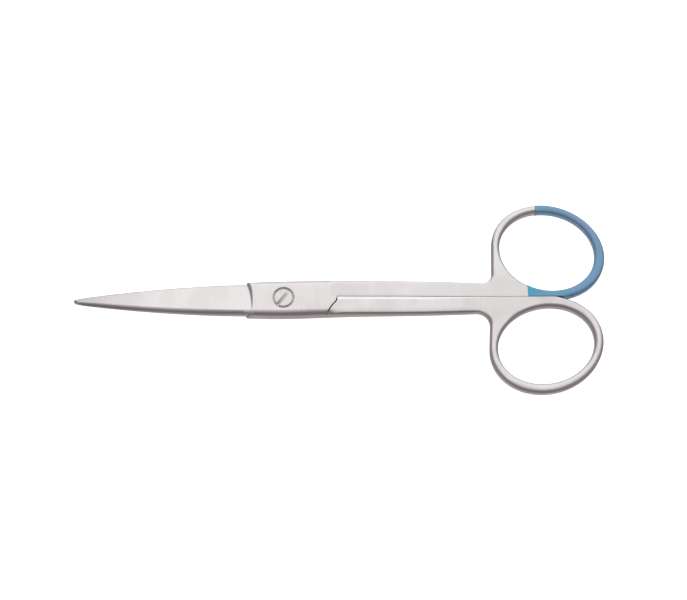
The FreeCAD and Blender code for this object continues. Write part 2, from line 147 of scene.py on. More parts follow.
# Thread, as parts of its pitch, and lengths of its foot and of the neck's end.
THREAD_DEPTH = 0.6
THREAD_HALF_FOOT = 0.46
THREAD_HALF_CREST = 0.07
THREAD_SUNK_FOOT = 0.05 * MM
NECK_END = 0.1 * MM

# Corners nearer than this are one, and edges up to this angle are smoothed.
MERGE_DISTANCE = 1e-7
SMOOTH_ANGLE = math.radians(25)

# Lacquer. Its pale edges are the teal multiplied and raised, and its blend is a part of the rings'.
CLOUD_SCALE = 400
CLOUD_SWING = 0.5
LACQUER_EDGE = 0.1 * MM
LACQUER_BLEND = 0.6
LACQUER_PALE = (1.25, 0.03)
LACQUER_RUBBED_SHARE = 0.5
LACQUER_GRAIN_SPACING = 0.25 * MM
LACQUER_GRAIN_DEPTH = 0.003 * MM
LACQUER_ROUGHNESS_SWING = (-0.05, 0.07)
LACQUER_METALLIC = 0.5
LACQUER_COAT = 0.25
LACQUER_COAT_ROUGHNESS = 0.2

# Studio. Lights are (height, colour) stops, with straight down at 0, the horizon at 0.5 and
# straight up at 1. Directions are parts of a unit vector, with X to the right and Y to the back.
STAGE_SEGMENTS = 96
PAPER_SCALE = 900
PAPER_COLOURS = ((0.9, 0.9, 0.9), (0.93, 0.93, 0.93))
PAPER_ROUGHNESS = 0.9
FRONT_LIGHT = (
    (0.0, (0.6, 0.54, 0.52)), (0.2, (0.4, 0.36, 0.36)), (0.5, (0.22, 0.2, 0.225)),
    (0.7, (0.2, 0.18, 0.21)), (0.85, (0.24, 0.225, 0.25)), (0.95, (0.38, 0.37, 0.39)),
    (1.0, (0.75, 0.75, 0.75)))
BACK_LIGHT = (
    (0.0, (0.6, 0.54, 0.52)), (0.35, (0.8, 0.78, 0.77)), (0.52, (0.95, 0.95, 0.96)),
    (0.68, (1.05, 1.05, 1.06)), (0.78, (1.28, 1.28, 1.29)), (1.0, (1.29, 1.29, 1.29)))
SIDE_LIGHT = (0.3, 0.285, 0.31)
SIDE_START = (0.45, 0.9)
BACK_START = (-0.05, 0.3)
BACK_MIDDLE_X = 0.08
BACK_DEPTH = 0.4
BACK_SPREAD = (1.15, 0.3)

# The sensor is in millimetres, and the clip limits are parts of the camera's distance.
SENSOR_WIDTH = 36
CLIP_NEAR = 0.1
CLIP_FAR = 20


class SteelSettings(bpy.types.PropertyGroup):
    """Finish of the two forged halves."""

    colour: FloatVectorProperty(
        name="Steel colour", description="Reflection colour of the ground steel",
        subtype="COLOR", size=3, min=0, max=1, default=(0.684, 0.657, 0.653))
    shade: FloatVectorProperty(
        name="Shade colour", description="Colour of the dull patches in the steel",
        subtype="COLOR", size=3, min=0, max=1, default=(0.66, 0.63, 0.62))
    roughness: FloatProperty(
        name="Roughness", description="Roughness of the ground faces",
        subtype="FACTOR", min=0, max=1, default=0.3)
    line_spacing: FloatProperty(
        name="Grinding spacing", description="Typical distance between grinding lines",
        unit="LENGTH", min=0, default=0.16 * MM)
    line_depth: FloatProperty(
        name="Grinding depth", description="Depth of the grinding lines",
        unit="LENGTH", min=0, default=0.0025 * MM)
    edge_width: FloatProperty(
        name="Edge width", description="Width of the rubbed strip beside sharp edges",
        unit="LENGTH", min=0, default=0.14 * MM)
    step_x: FloatProperty(
        name="Step place", description="Where the joint plate falls to the blade",
        unit="LENGTH", default=-8.5 * MM)
    step_blend: FloatProperty(
        name="Step blend", description="Width over which the foot of that step is blended into the blade",
        unit="LENGTH", min=0, default=0.7 * MM)
    ring_blend: FloatProperty(
        name="Ring blend", description="Width over which the rings' faces curve down to their sides",
        unit="LENGTH", min=0, default=1.05 * MM)
    shank_crispness: FloatProperty(
        name="Shank crispness", description="How much of the shanks' rounding looks like the flat face",
        min=0, default=4.5)
    step_crispness: FloatProperty(
        name="Step crispness", description="How much of that step's slope looks like the flat face",
        min=0, default=0.5)
    # Painted shade: how much darker the faces are made where the shanks widen into the rings.
    painted_web_shade: FloatProperty(
        name="Web shade", description="How much duller the faces are where the shanks widen into the rings",
        subtype="FACTOR", min=0, max=1, default=0.1)
    # Painted shade: how much darker the blades are made near their tips.
    painted_tip_shade: FloatProperty(
        name="Tip shade", description="How much duller the blades are near their tips",
        subtype="FACTOR", min=0, max=1, default=0.12)
    ring_centre: FloatVectorProperty(
        name="Ring centre", description="Centre of the upper finger ring, which the lower one mirrors",
        unit="LENGTH", size=2, default=(64.6 * MM, 12.1 * MM))


class ScrewSettings(bpy.types.PropertyGroup):
    """Turned pivot screw."""

    head_diameter: FloatProperty(
        name="Head diameter", description="Across the flush head",
        unit="LENGTH", min=0, default=SCREW_HIGH.x - SCREW_LOW.x)
    head_height: FloatProperty(
        name="Head height", description="Height of the head above its seat",
        unit="LENGTH", min=0, default=0.95 * MM)
    head_chamfer: FloatProperty(
        name="Head chamfer", description="Bevel round the top of the head",
        unit="LENGTH", min=0, default=0.27 * MM)
    neck_diameter: FloatProperty(
        name="Neck diameter", description="Plain part that the upper half turns on",
        unit="LENGTH", min=0, default=3.3 * MM)
    thread_diameter: FloatProperty(
        name="Thread diameter", description="Across the crests of the thread",
        unit="LENGTH", min=0, default=2.9 * MM)
    thread_pitch: FloatProperty(
        name="Thread pitch", description="Distance from one thread crest to the next",
        unit="LENGTH", min=0, default=0.45 * MM)
    slot_width: FloatProperty(
        name="Slot width", description="Width of the saw cut in the head",
        unit="LENGTH", min=0, default=0.82 * MM)
    slot_depth: FloatProperty(
        name="Slot depth", description="Depth of the saw cut at the rim",
        unit="LENGTH", min=0, default=0.6 * MM)
    slot_run_out: FloatProperty(
        name="Slot run-out", description="Where the sloping saw cut comes out, from the axis",
        unit="LENGTH", min=0, default=1.62 * MM)
    slot_angle: FloatProperty(
        name="Slot angle", description="Turn of the slot about the pivot axis",
        subtype="ANGLE", default=math.radians(52))
    steps: IntProperty(
        name="Steps", description="Facets round the screw", min=12, default=96)


class LacquerSettings(bpy.types.PropertyGroup):
    """Blue lacquer on the upper ring."""

    teal: FloatVectorProperty(
        name="Teal", description="Lacquer where it looks greenest",
        subtype="COLOR", size=3, min=0, max=1, default=(0.175, 0.35, 0.5))
    blue: FloatVectorProperty(
        name="Blue", description="Lacquer where it looks bluest",
        subtype="COLOR", size=3, min=0, max=1, default=(0.225, 0.33, 0.525))
    start: FloatVectorProperty(
        name="Start colour", description="Lacquer at its lower end, where it is deepest",
        subtype="COLOR", size=3, min=0, max=1, default=(0.07, 0.375, 0.55))
    flatness: FloatProperty(
        name="Flatness", description="How much of the ring's rounding looks like its top under the lacquer",
        min=0, default=1.5)
    hue_turn: FloatProperty(
        name="Hue turn", description="Angle round the ring from one teal stretch to the next",
        subtype="ANGLE", default=math.radians(78))
    roughness: FloatProperty(
        name="Roughness", description="Roughness of the lacquer",
        subtype="FACTOR", min=0, max=1, default=0.32)


class StageSettings(bpy.types.PropertyGroup):
    """Floor, backdrop and camera."""

    floor_radius: FloatProperty(
        name="Floor radius", description="Half the width of the round floor",
        unit="LENGTH", min=0, default=4.0)
    backdrop_height: FloatProperty(
        name="Backdrop height", description="Height of the paper wall round the floor",
        unit="LENGTH", min=0, default=3.0)
    elevation: FloatProperty(
        name="Camera elevation", description="Height of the camera above the horizon",
        subtype="ANGLE", default=math.radians(71))
    roll: FloatProperty(
        name="Camera roll", description="Turn of the camera about its line of sight",
        subtype="ANGLE", default=math.radians(-0.5))
    lens: FloatProperty(
        name="Lens", description="Focal length in millimetres on a 36 mm sensor", min=1, default=85)
    view_width: FloatProperty(
        name="View width", description="Width of the picture at the scissors",
        unit="LENGTH", min=0, default=168.8 * MM)
    target: FloatVectorProperty(
        name="Target", description="Point at the middle of the picture",
        unit="LENGTH", size=3, default=(14.68 * MM, -0.05 * MM, 2.2 * MM))


def add_node(tree, kind, inputs=None, **settings):
    """A node with its settings, whose inputs are given as values or as sockets to link."""
    made = tree.nodes.new(kind)
    for name, value in settings.items():
        setattr(made, name, value)
    for key, value in (inputs or {}).items():
        if isinstance(value, bpy.types.NodeSocket):
            tree.links.new(value, made.inputs[key])
        else:
            made.inputs[key].default_value = value
    return made


def calculate(tree, operation, *values):
    """Result of a Math node."""
    return add_node(tree, "ShaderNodeMath", dict(enumerate(values)), operation=operation).outputs[0]


def rescale(tree, value, low, high, to_low=0.0, to_high=1.0, kind="SMOOTHSTEP"):
    """Value carried from one range to another, held at both ends."""
    ranges = {"Value": value, "From Min": low, "From Max": high, "To Min": to_low, "To Max": to_high}
    made = add_node(tree, "ShaderNodeMapRange", ranges, interpolation_type=kind, clamp=True)
    return made.outputs["Result"]


def product(tree, first, *others):
    """Product of two or more values."""
    for other in others:
        first = calculate(tree, "MULTIPLY", first, other)
    return first


def spread(tree, grain, low, high, kind="LINEAR"):
    """Noise carried from its usual range to the given one."""
    return rescale(tree, grain, *NOISE_RANGE, low, high, kind)


def scaled(colour, factor, added=0.0):
    """Colour multiplied and raised, at most 1 in each channel."""
    return tuple(min(1.0, factor * channel + added) for channel in colour)


def blend_colours(tree, share, first, second):
    """First colour where share is 0 and second where it is 1."""
    made = add_node(tree, "ShaderNodeMix", data_type="RGBA")
    for key, value in ((0, share), (6, first), (7, second)):
        if isinstance(value, bpy.types.NodeSocket):
            tree.links.new(value, made.inputs[key])
        elif key == 0:
            made.inputs[key].default_value = value
        else:
            made.inputs[key].default_value = (*value, 1)
    return made.outputs[2]


def blend_vectors(tree, share, first, second):
    """First vector where share is 0 and second where it is 1."""
    made = add_node(tree, "ShaderNodeMix", {0: share, 4: first, 5: second}, data_type="VECTOR")
    return made.outputs[1]


def noise(tree, place, scale, detail=2.0, roughness=0.5):
    """Soft noise between 0 and 1, with the scale in cycles per unit of the place vector."""
    inputs = {"Vector": place, "Scale": scale, "Detail": detail, "Roughness": roughness}
    return add_node(tree, "ShaderNodeTexNoise", inputs).outputs["Fac"]


def new_material(name):
    """Empty principled material and its tree, shader and object coordinates."""
    material = bpy.data.materials.new(name)
    material.use_nodes = True
    tree = material.node_tree
    tree.nodes.clear()
    shader = add_node(tree, "ShaderNodeBsdfPrincipled")
    output = add_node(tree, "ShaderNodeOutputMaterial")
    tree.links.new(shader.outputs["BSDF"], output.inputs["Surface"])
    place = add_node(tree, "ShaderNodeTexCoord").outputs["Object"]
    return material, tree, shader, place


def link_bump(tree, shader, height, depth, normal):
    """Shader's normal from the given one, raised by a height pattern of the given depth."""
    bump = add_node(tree, "ShaderNodeBump", {
        "Strength": 1.0, "Distance": depth, "Height": height, "Normal": normal})
    tree.links.new(bump.outputs["Normal"], shader.inputs["Normal"])


def rounded_normal(tree, width):
    """Normal that is rounded over edges within the given width."""
    return add_node(tree, "ShaderNodeBevel", {"Radius": width}, samples=SHADER_SAMPLES).outputs["Normal"]


def edge_strip(tree, width):
    """Share from 0 on open faces to 1 on sharp edges, and the normal rounded over them."""
    soft = rounded_normal(tree, width)
    plain = add_node(tree, "ShaderNodeNewGeometry").outputs["Normal"]
    agreement = add_node(tree, "ShaderNodeVectorMath", {0: soft, 1: plain}, operation="DOT_PRODUCT")
    return rescale(tree, agreement.outputs["Value"], *EDGE_AGREEMENT), soft


def lifted_normal(tree, normal, amount, low=UPRIGHT[0], high=UPRIGHT[1]):
    """Normal turned up, or down on the underside, by the given amount where it is upright enough."""
    height = add_node(tree, "ShaderNodeSeparateXYZ", {0: normal}).outputs["Z"]
    facing = rescale(tree, calculate(tree, "ABSOLUTE", height), low, high)
    lift = product(tree, calculate(tree, "SIGN", height), product(tree, facing, amount))
    upright = add_node(tree, "ShaderNodeCombineXYZ", {2: lift}).outputs[0]
    added = add_node(tree, "ShaderNodeVectorMath", {0: normal, 1: upright}, operation="ADD").outputs[0]
    return add_node(tree, "ShaderNodeVectorMath", {0: added}, operation="NORMALIZE").outputs[0]


def off_parting(tree, axes):
    """Distance from the parting line, alike on both halves."""
    return calculate(tree, "ABSOLUTE", axes["Y"])


def ring_share(tree, axes):
    """Share that is 1 on the free part of a ring and 0 on its shank and where the rings meet."""
    return product(tree, rescale(tree, axes["X"], *RING_X),
                   rescale(tree, off_parting(tree, axes), *RING_OFF))


def inner_bevel(tree, axes):
    """Share that is 1 on the sloping bevel along the inner rim of each shank."""
    normal = add_node(tree, "ShaderNodeNewGeometry").outputs["True Normal"]
    slope = calculate(tree, "ABSOLUTE", add_node(tree, "ShaderNodeSeparateXYZ", {0: normal}).outputs["Z"])
    sloping = product(tree, rescale(tree, slope, *BEVEL_FROM_FACE), rescale(tree, slope, *BEVEL_FROM_WALL))
    near = product(tree, rescale(tree, off_parting(tree, axes), *BEVEL_OFF),
                   rescale(tree, axes["X"], *BEVEL_X))
    return product(tree, sloping, near)


def grinding_place(tree, place, ring_centre):
    """Coordinates whose second axis follows the grinding: across the tool, and round each ring."""
    axes = add_node(tree, "ShaderNodeSeparateXYZ", {0: place}).outputs
    side = calculate(tree, "SUBTRACT", off_parting(tree, axes), ring_centre[1])
    along = calculate(tree, "SUBTRACT", axes["X"], ring_centre[0])
    squares = calculate(tree, "ADD", product(tree, side, side), product(tree, along, along))
    radius = calculate(tree, "SQRT", squares)
    turn = product(tree, calculate(tree, "ARCTAN2", side, along), ring_centre[1])
    round_ring = add_node(tree, "ShaderNodeCombineXYZ", {0: radius, 1: turn, 2: axes["Z"]}).outputs[0]
    share = rescale(tree, axes["X"], *ROUND_GRINDING_X)
    return blend_vectors(tree, share, place, round_ring), axes


def steel_normal(tree, settings, axes, near_step, bevel, bevel_lift):
    """Normal blended over the steel's roundings and turned up where they look like flat faces."""
    width = rescale(tree, near_step, 0, 1, settings.edge_width, settings.step_blend)
    on_ring = rescale(tree, ring_share(tree, axes), 0, 1, 0, settings.ring_blend)
    width = calculate(tree, "MAXIMUM", width, on_ring)
    on_shank = product(
        tree, rescale(tree, axes["X"], *SHANK_START_X), rescale(tree, axes["X"], *SHANK_END_X),
        rescale(tree, off_parting(tree, axes), *SHANK_OFF))
    lift = calculate(tree, "ADD", product(tree, on_shank, settings.shank_crispness),
                     product(tree, near_step, settings.step_crispness))
    lift = add_node(tree, "ShaderNodeMix", {0: bevel, 2: lift, 3: bevel_lift}).outputs[0]
    crisp = product(tree, on_shank, calculate(tree, "SUBTRACT", 1, bevel))
    low, high = (rescale(tree, crisp, 0, 1, *ends) for ends in zip(UPRIGHT, CRISP_UPRIGHT))
    return lifted_normal(tree, rounded_normal(tree, width), lift, low, high)


def steel(name, settings, shift, bevel_painted_light, bevel_lift):
    """Ground stainless steel with fine lines, dull patches and rubbed edges, an inner bevel with a painted
    highlight of its own colour, and painted shade near the tips, at the webs and in crevices.
    """
    material, tree, shader, place = new_material(name)
    ground, axes = grinding_place(tree, place, settings.ring_centre)
    fine = 1 / settings.line_spacing
    stretched = add_node(tree, "ShaderNodeMapping", {
        "Vector": ground, "Location": (shift, shift, shift), "Scale": GRINDING_STRETCH}).outputs[0]
    lines = noise(tree, stretched, fine, detail=3, roughness=0.6)
    bands = noise(tree, stretched, fine * BAND_SCALE, detail=2)
    patches = noise(tree, place, STEEL_PATCH_SCALE, detail=3, roughness=0.55)
    from_step = calculate(tree, "ABSOLUTE", calculate(tree, "SUBTRACT", axes["X"], settings.step_x))
    near_step = rescale(tree, from_step, *STEP_REACH)
    edges = edge_strip(tree, settings.edge_width)[0]
    edges = product(tree, edges, calculate(tree, "SUBTRACT", 1, near_step))
    bevel = inner_bevel(tree, axes)
    soft_normal = steel_normal(tree, settings, axes, near_step, bevel, bevel_lift)

    dull = rescale(tree, patches, *DULL_PATCH_RANGE)
    dull = calculate(tree, "ADD", dull, spread(tree, lines, -DULL_LINES, DULL_LINES))
    dull = calculate(tree, "ADD", dull, spread(tree, bands, -DULL_BANDS, DULL_BANDS))
    colour = blend_colours(tree, rescale(tree, dull, 0, 1), settings.colour, settings.shade)
    # Painted shade: darker towards the tips of the blades.
    painted_tip_mask = rescale(tree, axes["X"], *PAINTED_TIP_SHADE_X, 0, settings.painted_tip_shade)
    colour = blend_colours(tree, painted_tip_mask, colour, BLACK)
    rubbed = scaled(settings.colour, RUBBED_GAIN)
    colour = blend_colours(tree, product(tree, edges, RUBBED_SHARE), colour, rubbed)
    # Painted highlight: the inner bevel takes a lighter colour of its own.
    colour = blend_colours(tree, bevel, colour, bevel_painted_light)
    # Painted shade: darker where the shanks widen into the rings.
    painted_web_mask = product(tree, rescale(tree, axes["X"], *PAINTED_WEB_SHADE_X, 0, settings.painted_web_shade),
                       rescale(tree, off_parting(tree, axes), *PAINTED_WEB_SHADE_OFF))
    colour = blend_colours(tree, painted_web_mask, colour, BLACK)
    # Painted shade in crevices: darker where ambient occlusion finds the steel closed in.
    open_share = add_node(tree, "ShaderNodeAmbientOcclusion", {"Distance": PAINTED_SHADE_REACH},
                          samples=SHADER_SAMPLES, only_local=True).outputs["AO"]
    crevice_painted_shade = scaled(settings.shade, PAINTED_SHADE_FACTOR)
    colour = blend_colours(tree, rescale(tree, open_share, *PAINTED_SHADE_OPENNESS), colour, crevice_painted_shade)
    tree.links.new(colour, shader.inputs["Base Color"])

    swing = [settings.roughness + change for change in STEEL_ROUGHNESS_SWING]
    roughness = rescale(tree, lines, *LINE_RANGE, *swing, "LINEAR")
    roughness = calculate(tree, "ADD", roughness, spread(tree, patches, *PATCH_ROUGHNESS, "SMOOTHSTEP"))
    roughness = calculate(tree, "SUBTRACT", roughness, product(tree, edges, RUBBED_ROUGHNESS))
    tree.links.new(roughness, shader.inputs["Roughness"])

    height = calculate(tree, "ADD", lines, product(tree, bands, BAND_DEPTH))
    link_bump(tree, shader, height, settings.line_depth, soft_normal)
    shader.inputs["Metallic"].default_value = 1.0
    return material


def screw_steel(settings, steel_settings):
    """Steel turned in the lathe: fine rings about the axis, painted shade in the slot and a painted
    highlight on the head's bevel.
    """
    material, tree, shader, place = new_material("turned_screw_steel")
    axes = add_node(tree, "ShaderNodeSeparateXYZ", {0: place}).outputs
    flat = add_node(tree, "ShaderNodeCombineXYZ", {0: axes["X"], 1: axes["Y"]}).outputs[0]
    radius = add_node(tree, "ShaderNodeVectorMath", {0: flat}, operation="LENGTH").outputs["Value"]
    turned = add_node(tree, "ShaderNodeCombineXYZ", {0: radius, 2: axes["Z"]}).outputs[0]
    rings = noise(tree, turned, 1 / SCREW_LINE_SPACING, detail=3, roughness=0.6)
    patches = noise(tree, place, SCREW_PATCH_SCALE, detail=2)
    edges, soft_normal = edge_strip(tree, steel_settings.edge_width * SCREW_EDGE)

    head = 0.5 * settings.head_diameter
    chamfer = settings.head_chamfer
    dull = rescale(tree, patches, *SCREW_DULL_RANGE, 0, SCREW_DULL_SHARE)
    duller = scaled(steel_settings.shade, SCREW_DULL_SHADE)
    colour = blend_colours(tree, dull, steel_settings.colour, duller)
    # Painted shade: the slot is darkened.
    inside = rescale(tree, radius, *(head - part * chamfer for part in SLOT_INSIDE))
    below = rescale(tree, axes["Z"], *(SCREW_HIGH.z - depth for depth in SLOT_DEPTHS))
    slot_painted_shade = product(tree, inside, below)
    colour = blend_colours(tree, slot_painted_shade, colour, scaled(steel_settings.shade, SLOT_PAINTED_SHADE))
    # Painted highlight: a band round the head's chamfer is lightened.
    rim = rescale(tree, radius, *(head - part * chamfer for part in RIM_BAND), 0, RIM_PAINTED_HIGHLIGHT_SHARE)
    colour = blend_colours(tree, rim, colour, RIM_PAINTED_HIGHLIGHT)
    rubbed = product(tree, edges, SCREW_RUBBED_SHARE)
    colour = blend_colours(tree, rubbed, colour, steel_settings.colour)
    tree.links.new(colour, shader.inputs["Base Color"])
    tree.links.new(spread(tree, rings, *SCREW_ROUGHNESS), shader.inputs["Roughness"])
    link_bump(tree, shader, rings, SCREW_LINE_DEPTH, soft_normal)
    shader.inputs["Metallic"].default_value = 1.0
    return material


def ring_lacquer(settings, ring_centre, ring_blend):
    """Semi-gloss metallic lacquer between teal and blue round the ring, deepest at its lower end."""
    material, tree, shader, place = new_material("ring_lacquer")
    axes = add_node(tree, "ShaderNodeSeparateXYZ", {0: place}).outputs
    side = calculate(tree, "SUBTRACT", axes["Y"], ring_centre[1])
    along = calculate(tree, "SUBTRACT", axes["X"], ring_centre[0])
    turn = calculate(tree, "ARCTAN2", side, along)
    swing = calculate(tree, "COSINE", product(tree, turn, math.tau / settings.hue_turn))
    cloud = noise(tree, place, CLOUD_SCALE, detail=3)
    swing = calculate(tree, "ADD", swing, spread(tree, cloud, -CLOUD_SWING, CLOUD_SWING, "SMOOTHSTEP"))
    colour = blend_colours(tree, rescale(tree, swing, -1, 1), settings.blue, settings.teal)
    at_start = product(tree, rescale(tree, axes["X"], *LACQUER_START_X),
                       rescale(tree, axes["Y"], *LACQUER_START_Y))
    faint = rescale(tree, axes["Y"], *LACQUER_FAINT_Y, 0, LACQUER_FAINT_SHARE)
    at_start = calculate(tree, "MAXIMUM", at_start, faint)
    colour = blend_colours(tree, at_start, colour, settings.start)
    edges = edge_strip(tree, LACQUER_EDGE)[0]
    pale = scaled(settings.teal, *LACQUER_PALE)
    colour = blend_colours(tree, product(tree, edges, LACQUER_RUBBED_SHARE), colour, pale)
    tree.links.new(colour, shader.inputs["Base Color"])

    grain = noise(tree, place, 1 / LACQUER_GRAIN_SPACING, detail=3, roughness=0.6)
    swing = [settings.roughness + change for change in LACQUER_ROUGHNESS_SWING]
    tree.links.new(spread(tree, grain, *swing), shader.inputs["Roughness"])
    width = rescale(tree, ring_share(tree, axes), 0, 1, LACQUER_EDGE, LACQUER_BLEND * ring_blend)
    soft_normal = lifted_normal(tree, rounded_normal(tree, width), settings.flatness)
    link_bump(tree, shader, grain, LACQUER_GRAIN_DEPTH, soft_normal)
    shader.inputs["Metallic"].default_value = LACQUER_METALLIC
    shader.inputs["Coat Weight"].default_value = LACQUER_COAT
    shader.inputs["Coat Roughness"].default_value = LACQUER_COAT_ROUGHNESS
    return material


def finish_node(name, material):
    """A frame node takes a material in place of its plain one."""
    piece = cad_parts[name]
    piece.data.materials.clear()
    piece.data.materials.append(material)


def new_object(name, form):
    """Object in the scene, at the origin, from a finished bmesh, which is used up."""
    mesh = bpy.data.meshes.new(name)
    form.to_mesh(mesh)
    form.free()
    made = bpy.data.objects.new(name, mesh)
    bpy.context.scene.collection.objects.link(made)
    return made


def add_piece(name, form, body, material):
    """Piece from a finished bmesh that rides on a body."""
    piece = new_object(name, form)
    piece.data.materials.append(material)
    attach(piece, body)
    return piece


def turned_form(profile, steps):
    """Closed turned shape from a half section given as (radius, height) from axis to axis."""
    form = bmesh.new()
    corners = [form.verts.new((radius, 0, height)) for radius, height in profile]
    edges = [form.edges.new(pair) for pair in zip(corners, corners[1:])]
    bmesh.ops.spin(form, geom=corners + edges, cent=(0, 0, 0), axis=(0, 0, 1), dvec=(0, 0, 0),
                   angle=math.tau, steps=steps, use_merge=True)
    bmesh.ops.remove_doubles(form, verts=form.verts, dist=MERGE_DISTANCE)
    bmesh.ops.recalc_face_normals(form, faces=form.faces)
    return form


def thread_form(settings, low, high):
    """Closed helical ridge whose crest lies on the thread diameter and whose foot is in the core."""
    crest = settings.thread_diameter / 2
    pitch = settings.thread_pitch
    foot = crest - THREAD_DEPTH * pitch - THREAD_SUNK_FOOT
    half_foot = THREAD_HALF_FOOT * pitch
    half_crest = THREAD_HALF_CREST * pitch
    turns = (high - low) / pitch - 1
    steps = int(settings.steps * turns)
    form = bmesh.new()
    middle = low + pitch / 2
    corners = [form.verts.new(point) for point in (
        (foot, 0, middle - half_foot), (crest, 0, middle - half_crest),
        (crest, 0, middle + half_crest), (foot, 0, middle + half_foot))]
    start = form.faces.new(corners)
    bmesh.ops.spin(form, geom=[start], cent=(0, 0, 0), axis=(0, 0, 1), dvec=(0, 0, turns * pitch / steps),
                   angle=math.tau * turns, steps=steps)
    bmesh.ops.recalc_face_normals(form, faces=form.faces)
    return form


def slot_form(settings, top):
    """Wedge that the saw takes out of the head, deepest at one rim."""
    rim = settings.head_diameter / 2
    reach = rim + MM
    fall = settings.slot_depth / (rim + settings.slot_run_out)
    form = bmesh.new()
    side = settings.slot_width / 2
    outline = (
        (settings.slot_run_out, top),
        (-reach, top - fall * (reach + settings.slot_run_out)),
        (-reach, top + MM),
        (settings.slot_run_out, top + MM),
    )
    face = form.faces.new([form.verts.new((x, -side, z)) for x, z in outline])
    pushed = bmesh.ops.extrude_face_region(form, geom=[face])["geom"]
    moved = [item for item in pushed if isinstance(item, bmesh.types.BMVert)]
    bmesh.ops.translate(form, verts=moved, vec=(0, settings.slot_width, 0))
    bmesh.ops.rotate(form, verts=form.verts, cent=(0, 0, 0),
                     matrix=Matrix.Rotation(settings.slot_angle, 3, "Z"))
    bmesh.ops.recalc_face_normals(form, faces=form.faces)
    return form


def combined(base, steps):
    """Bmesh of the base after its booleans with the other forms, which are used up."""
    body = new_object("screw_blank", base)
    tools = []
    for operation, form in steps:
        tool = new_object("screw_tool", form)
        cut = body.modifiers.new("cut", "BOOLEAN")
        cut.operation = operation
        cut.object = tool
        cut.solver = "EXACT"
        tools.append(tool)
    bpy.context.view_layer.update()
    result = body.evaluated_get(bpy.context.evaluated_depsgraph_get())
    form = bmesh.new()
    form.from_mesh(result.to_mesh())
    for used in (body, *tools):
        mesh = used.data
        bpy.data.objects.remove(used)
        bpy.data.meshes.remove(mesh)
    return form


def smooth_by_angle(piece, angle):
    """Smooth faces with the edges above an angle kept sharp."""
    form = bmesh.new()
    form.from_mesh(piece.data)
    for face in form.faces:
        face.smooth = True
    for edge in form.edges:
        edge.smooth = len(edge.link_faces) == 2 and edge.calc_face_angle() < angle
    form.to_mesh(piece.data)
    form.free()


class SCISSORS_OT_halves(bpy.types.Operator):
    """Give both forged halves their ground steel finish"""

    bl_idname = "scissors.halves"
    bl_label = "Forged halves"

    def execute(self, context):
        settings = context.scene.scissors_steel
        # Each half's inner bevel gets a painted highlight, stronger on the lower half.
        upper = steel("ground_steel_upper", settings, 0.0, bevel_painted_light=(0.7, 0.68, 0.68), bevel_lift=8.0)
        lower = steel("ground_steel_lower", settings, 0.37, bevel_painted_light=(0.83, 0.82, 0.83), bevel_lift=0.0)
        finish_node("upper_half", upper)
        finish_node("lower_half", lower)
        return {"FINISHED"}


class SCISSORS_OT_pivot_screw(bpy.types.Operator):
    """Turn the slotted pivot screw with its thread"""

    bl_idname = "scissors.pivot_screw"
    bl_label = "Pivot screw"

    def execute(self, context):
        settings = context.scene.scissors_screw
        top, bottom = SCREW_HIGH.z, SCREW_LOW.z
        head = settings.head_diameter / 2
        neck = settings.neck_diameter / 2
        core = settings.thread_diameter / 2 - THREAD_DEPTH * settings.thread_pitch
        chamfer = settings.head_chamfer
        seat = top - settings.head_height
        slide = (CAD_HIGH.z + CAD_LOW.z) / 2
        blank = turned_form((
            (0, top), (head - chamfer, top), (head, top - chamfer), (head, seat), (neck, seat),
            (neck, slide), (core, slide - NECK_END), (core, bottom), (0, bottom)), settings.steps)
        thread = thread_form(settings, bottom, slide)
        form = combined(blank, (("UNION", thread), ("DIFFERENCE", slot_form(settings, top))))
        material = screw_steel(settings, context.scene.scissors_steel)
        piece = add_piece("turned_pivot_screw", form, LOWER_BODY, material)
        smooth_by_angle(piece, SMOOTH_ANGLE)
        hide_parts("pivot_screw")
        return {"FINISHED"}


class SCISSORS_OT_ring_lacquer(bpy.types.Operator):
    """Give the coat on the upper ring its blue lacquer"""

    bl_idname = "scissors.ring_lacquer"
    bl_label = "Ring lacquer"

    def execute(self, context):
        steel_settings = context.scene.scissors_steel
        material = ring_lacquer(context.scene.scissors_lacquer, steel_settings.ring_centre,
                                steel_settings.ring_blend)
        finish_node("ring_colour_coat", material)
        return {"FINISHED"}


def floor_material():
    """White paper that shines of itself, so that it stays evenly white."""
    material, tree, shader, place = new_material("studio_paper")
    fibres = noise(tree, place, PAPER_SCALE, detail=4)
    colour = blend_colours(tree, fibres, *PAPER_COLOURS)
    tree.links.new(colour, shader.inputs["Base Color"])
    shader.inputs["Roughness"].default_value = PAPER_ROUGHNESS
    shader.inputs["Emission Color"].default_value = (1, 1, 1, 1)
    shader.inputs["Emission Strength"].default_value = 1.0
    return material


def stage_piece(name, form, material):
    """Piece of the studio from a finished bmesh, which the steel doesn't mirror."""
    piece = new_object(name, form)
    piece.data.materials.append(material)
    piece.visible_glossy = False
    return piece


def floor_circle(radius, filled):
    """Circle at the height that the scissors rest on."""
    form = bmesh.new()
    bmesh.ops.create_circle(form, cap_ends=filled, radius=radius, segments=STAGE_SEGMENTS)
    bmesh.ops.translate(form, verts=form.verts, vec=(0, 0, CAD_LOW.z))
    return form


def add_floor(radius, material):
    """Round floor under the scissors."""
    stage_piece("floor", floor_circle(radius, filled=True), material)


def add_backdrop(radius, height, material):
    """Wall of the same paper round the floor, which casts no shadow and lights nothing."""
    form = floor_circle(radius, filled=False)
    raised = bmesh.ops.extrude_edge_only(form, edges=form.edges[:])["geom"]
    top = [item for item in raised if isinstance(item, bmesh.types.BMVert)]
    bmesh.ops.translate(form, verts=top, vec=(0, 0, height))
    backdrop = stage_piece("backdrop", form, material)
    backdrop.visible_diffuse = False
    backdrop.visible_shadow = False


def ramp(tree, value, stops):
    """Colour ramp from (position, colour) stops."""
    made = add_node(tree, "ShaderNodeValToRGB", {0: value})
    points = made.color_ramp.elements
    while len(points) < len(stops):
        points.new(0.5)
    for point, (position, colour) in zip(points, stops):
        point.position = position
        point.color = (*colour, 1)
    return made.outputs["Color"]


